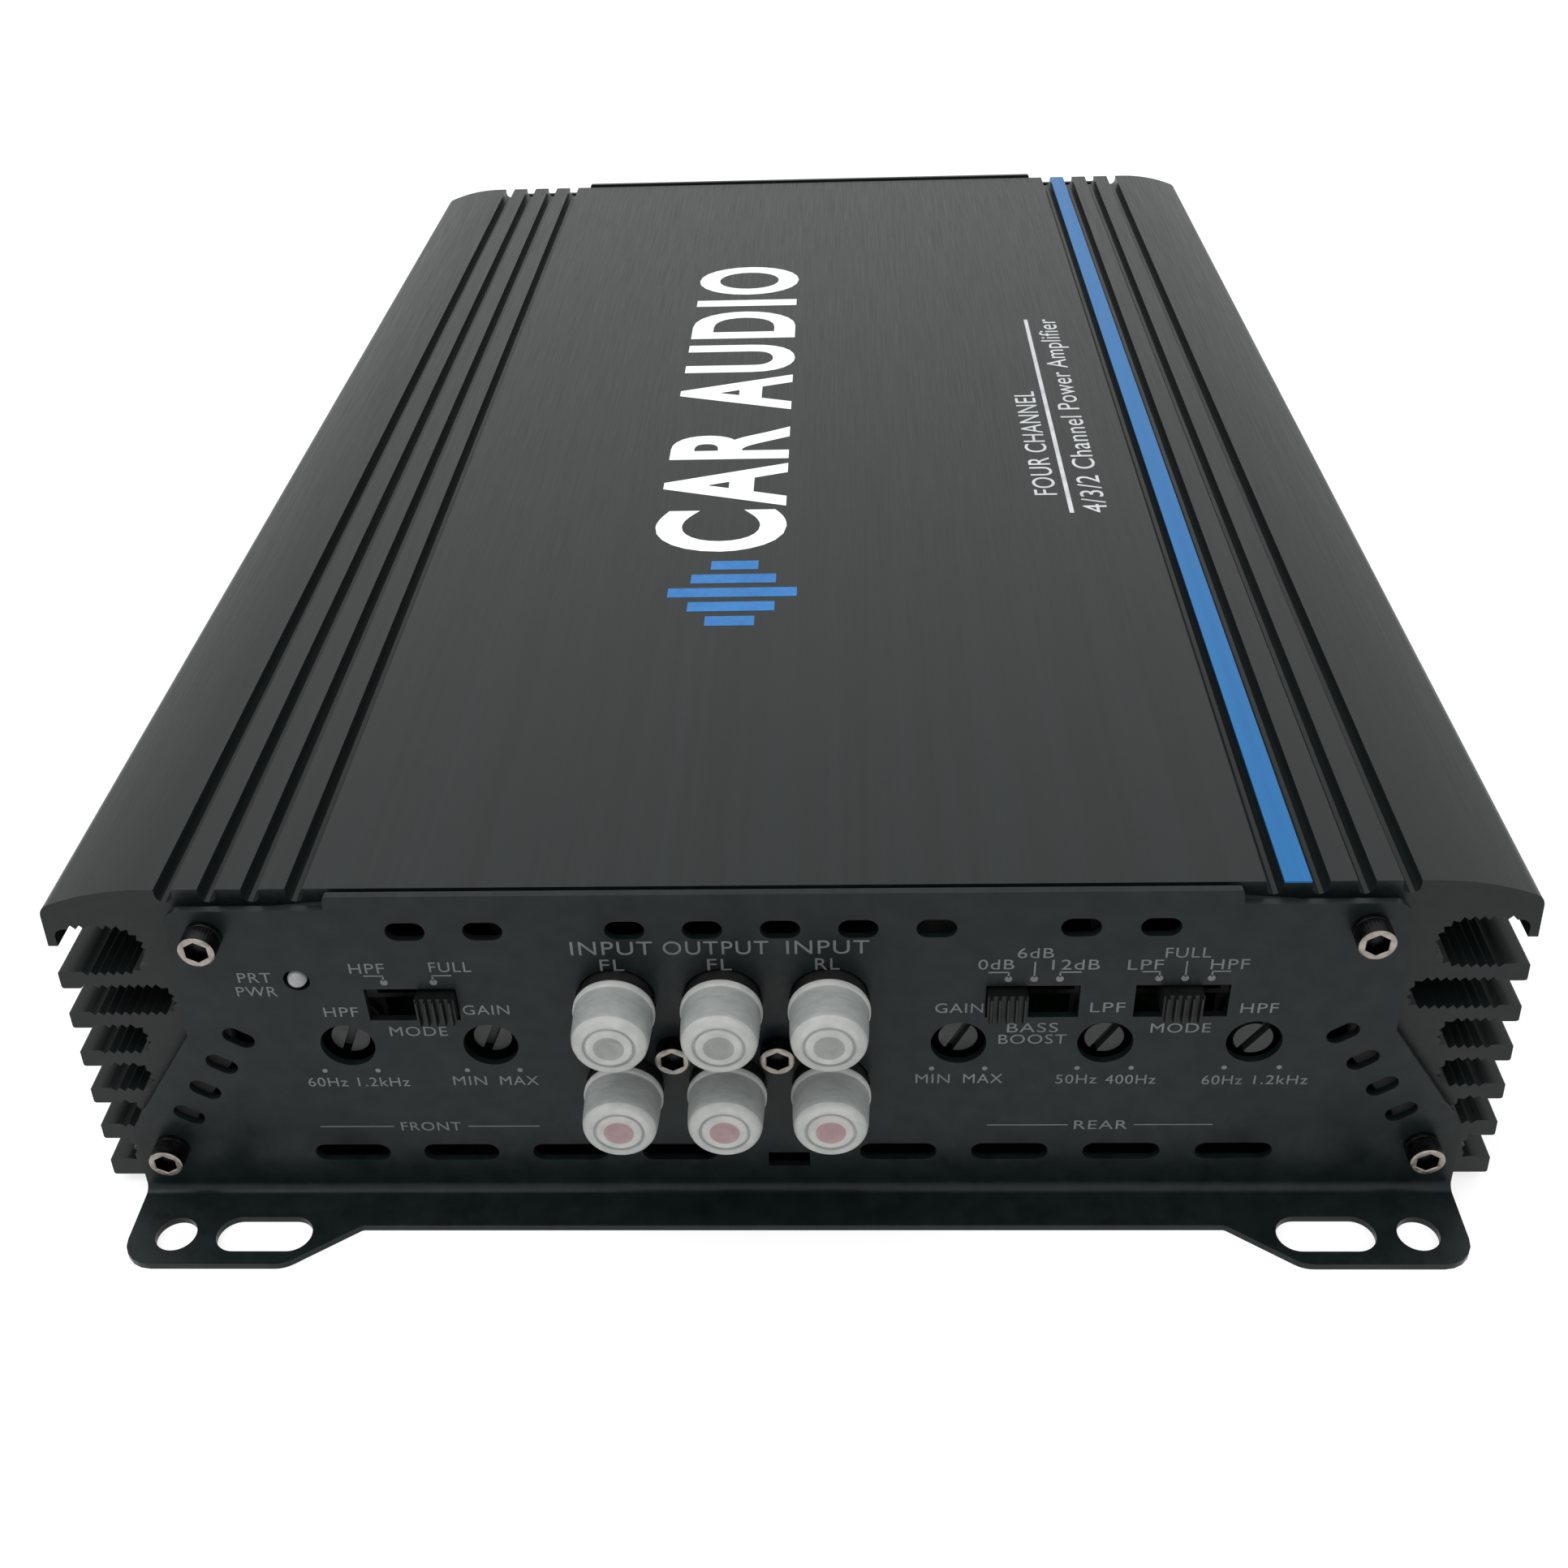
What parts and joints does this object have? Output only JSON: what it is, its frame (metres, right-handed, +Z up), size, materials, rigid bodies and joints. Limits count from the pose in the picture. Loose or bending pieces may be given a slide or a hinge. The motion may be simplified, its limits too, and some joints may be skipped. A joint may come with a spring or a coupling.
{
  "type": "car amplifier",
  "caption": "Finned aluminium car audio amplifier with folded end panels, mounting ears, capped phono inputs, level controls, slide switches and clamp terminals.",
  "frame": {"origin": "centre of the footprint, on the plane the feet stand on", "axes": "+Z up, -Y towards the control panel, +Y towards the power terminals, +X to the right seen from the control panel"},
  "size_m": [0.2272, 0.3718, 0.0635],
  "materials": {
    "black_anodised": "black anodised, brushed along the length on top",
    "blue_strip": "satin blue",
    "panel_black": "fine satin black powder coat",
    "cover_black": "satin black",
    "screw_nickel": "nickel plated, fine turned faces",
    "screw_black": "black oxide",
    "gasket_black": "closed-cell foam",
    "jack_plastic": "moulded black",
    "jack_metal": "plated",
    "jack_white": "moulded white",
    "jack_red": "moulded red",
    "brass": "plated brass",
    "cap_milky": "translucent milky polyethylene, soft satin",
    "switch_steel": "pressed plated steel",
    "knob_black": "moulded black with ribs",
    "control_plastic": "moulded",
    "shaft_black": "moulded black",
    "lamp_clear": "water-clear lens",
    "board_green": "solder-masked glass-fibre laminate",
    "steel_plated": "bright zinc",
    "winding_copper": "enamelled copper wire over a ring core",
    "choke_core": "coated iron powder with enamelled wire",
    "capacitor_sleeve": "shrunk sleeve over aluminium cans",
    "transistor_epoxy": "moulded epoxy, tinned legs",
    "pad_grey": "thermally conductive silicone",
    "clamp_aluminium": "plain extruded",
    "terminal_plastic": "moulded black",
    "fuse_green": "translucent moulded green with plated blades"
  },
  "bodies": {
    "amplifier": {"heatsink_housing": "black_anodised", "accent_stripe": "blue_strip", "front_panel": "panel_black", "rear_panel": "panel_black", "bottom_cover": "cover_black", "front_panel_screws": "screw_nickel", "rear_panel_screws": "screw_nickel", "panel_gaskets": "gasket_black", "screw_washers": "screw_black", "bottom_cover_screws": "screw_black", "jack_block": "jack_plastic", "jack_shells": "jack_metal", "jack_insulators_upper": "jack_white", "jack_insulators_lower": "jack_red", "jack_contacts": "brass", "jack_block_screws": "screw_nickel", "switch_body_1": "switch_steel", "switch_body_2": "switch_steel", "switch_body_3": "switch_steel", "level_control_1": "control_plastic", "level_control_2": "control_plastic", "level_control_3": "control_plastic", "level_control_4": "control_plastic", "level_control_5": "control_plastic", "power_lamp": "lamp_clear", "control_board_left": "board_green", "control_board_right": "board_green", "main_board": "board_green", "board_standoffs": "brass", "board_screws": "steel_plated", "power_transformer": "winding_copper", "filter_choke": "choke_core", "filter_capacitors": "capacitor_sleeve", "power_transistors": "transistor_epoxy", "insulating_pads": "pad_grey", "transistor_clamps": "clamp_aluminium", "clamp_screws": "steel_plated", "power_terminal_block": "terminal_plastic", "power_terminal_contacts": "brass", "speaker_terminal_block": "terminal_plastic", "speaker_terminal_contacts": "brass", "terminal_screws": "steel_plated", "fuse_holder": "terminal_plastic"},
    "dust_cap_1": {"dust_cap_1": "cap_milky"},
    "dust_cap_2": {"dust_cap_2": "cap_milky"},
    "dust_cap_3": {"dust_cap_3": "cap_milky"},
    "dust_cap_4": {"dust_cap_4": "cap_milky"},
    "dust_cap_5": {"dust_cap_5": "cap_milky"},
    "dust_cap_6": {"dust_cap_6": "cap_milky"},
    "switch_knob_1": {"switch_knob_1": "knob_black"},
    "switch_knob_2": {"switch_knob_2": "knob_black"},
    "switch_knob_3": {"switch_knob_3": "knob_black"},
    "level_shaft_1": {"level_shaft_1": "shaft_black"},
    "level_shaft_2": {"level_shaft_2": "shaft_black"},
    "level_shaft_3": {"level_shaft_3": "shaft_black"},
    "level_shaft_4": {"level_shaft_4": "shaft_black"},
    "level_shaft_5": {"level_shaft_5": "shaft_black"},
    "fuse_1": {"fuse_1": "fuse_green"},
    "fuse_2": {"fuse_2": "fuse_green"}
  },
  "joints": [
    {"name": "dust_cap_1_pull", "type": "slide", "parent": "amplifier", "child": "dust_cap_1", "axis": [0, -1, 0], "range_m": [0, 0.02]},
    {"name": "dust_cap_2_pull", "type": "slide", "parent": "amplifier", "child": "dust_cap_2", "axis": [0, -1, 0], "range_m": [0, 0.02]},
    {"name": "dust_cap_3_pull", "type": "slide", "parent": "amplifier", "child": "dust_cap_3", "axis": [0, -1, 0], "range_m": [0, 0.02]},
    {"name": "dust_cap_4_pull", "type": "slide", "parent": "amplifier", "child": "dust_cap_4", "axis": [0, -1, 0], "range_m": [0, 0.02]},
    {"name": "dust_cap_5_pull", "type": "slide", "parent": "amplifier", "child": "dust_cap_5", "axis": [0, -1, 0], "range_m": [0, 0.02]},
    {"name": "dust_cap_6_pull", "type": "slide", "parent": "amplifier", "child": "dust_cap_6", "axis": [0, -1, 0], "range_m": [0, 0.02]},
    {"name": "switch_knob_1_slide", "type": "slide", "parent": "amplifier", "child": "switch_knob_1", "axis": [1, 0, 0], "range_m": [-0.0076, 0]},
    {"name": "switch_knob_2_slide", "type": "slide", "parent": "amplifier", "child": "switch_knob_2", "axis": [1, 0, 0], "range_m": [0, 0.0076]},
    {"name": "switch_knob_3_slide", "type": "slide", "parent": "amplifier", "child": "switch_knob_3", "axis": [1, 0, 0], "range_m": [-0.0038, 0.0038]},
    {"name": "level_shaft_1_turn", "type": "hinge", "parent": "amplifier", "child": "level_shaft_1", "pos_m": [-0.0677, -0.16225, 0.0338], "axis": [0, 1, 0], "range_deg": [0, 300]},
    {"name": "level_shaft_2_turn", "type": "hinge", "parent": "amplifier", "child": "level_shaft_2", "pos_m": [-0.0454, -0.16225, 0.0338], "axis": [0, 1, 0], "range_deg": [0, 300]},
    {"name": "level_shaft_3_turn", "type": "hinge", "parent": "amplifier", "child": "level_shaft_3", "pos_m": [0.0266, -0.16225, 0.0338], "axis": [0, 1, 0], "range_deg": [0, 300]},
    {"name": "level_shaft_4_turn", "type": "hinge", "parent": "amplifier", "child": "level_shaft_4", "pos_m": [0.0489, -0.16225, 0.0338], "axis": [0, 1, 0], "range_deg": [0, 300]},
    {"name": "level_shaft_5_turn", "type": "hinge", "parent": "amplifier", "child": "level_shaft_5", "pos_m": [0.0714, -0.16225, 0.0338], "axis": [0, 1, 0], "range_deg": [0, 300]},
    {"name": "fuse_1_pull", "type": "slide", "parent": "amplifier", "child": "fuse_1", "axis": [0, 1, 0], "range_m": [0, 0.02]},
    {"name": "fuse_2_pull", "type": "slide", "parent": "amplifier", "child": "fuse_2", "axis": [0, 1, 0], "range_m": [0, 0.02]}
  ]
}
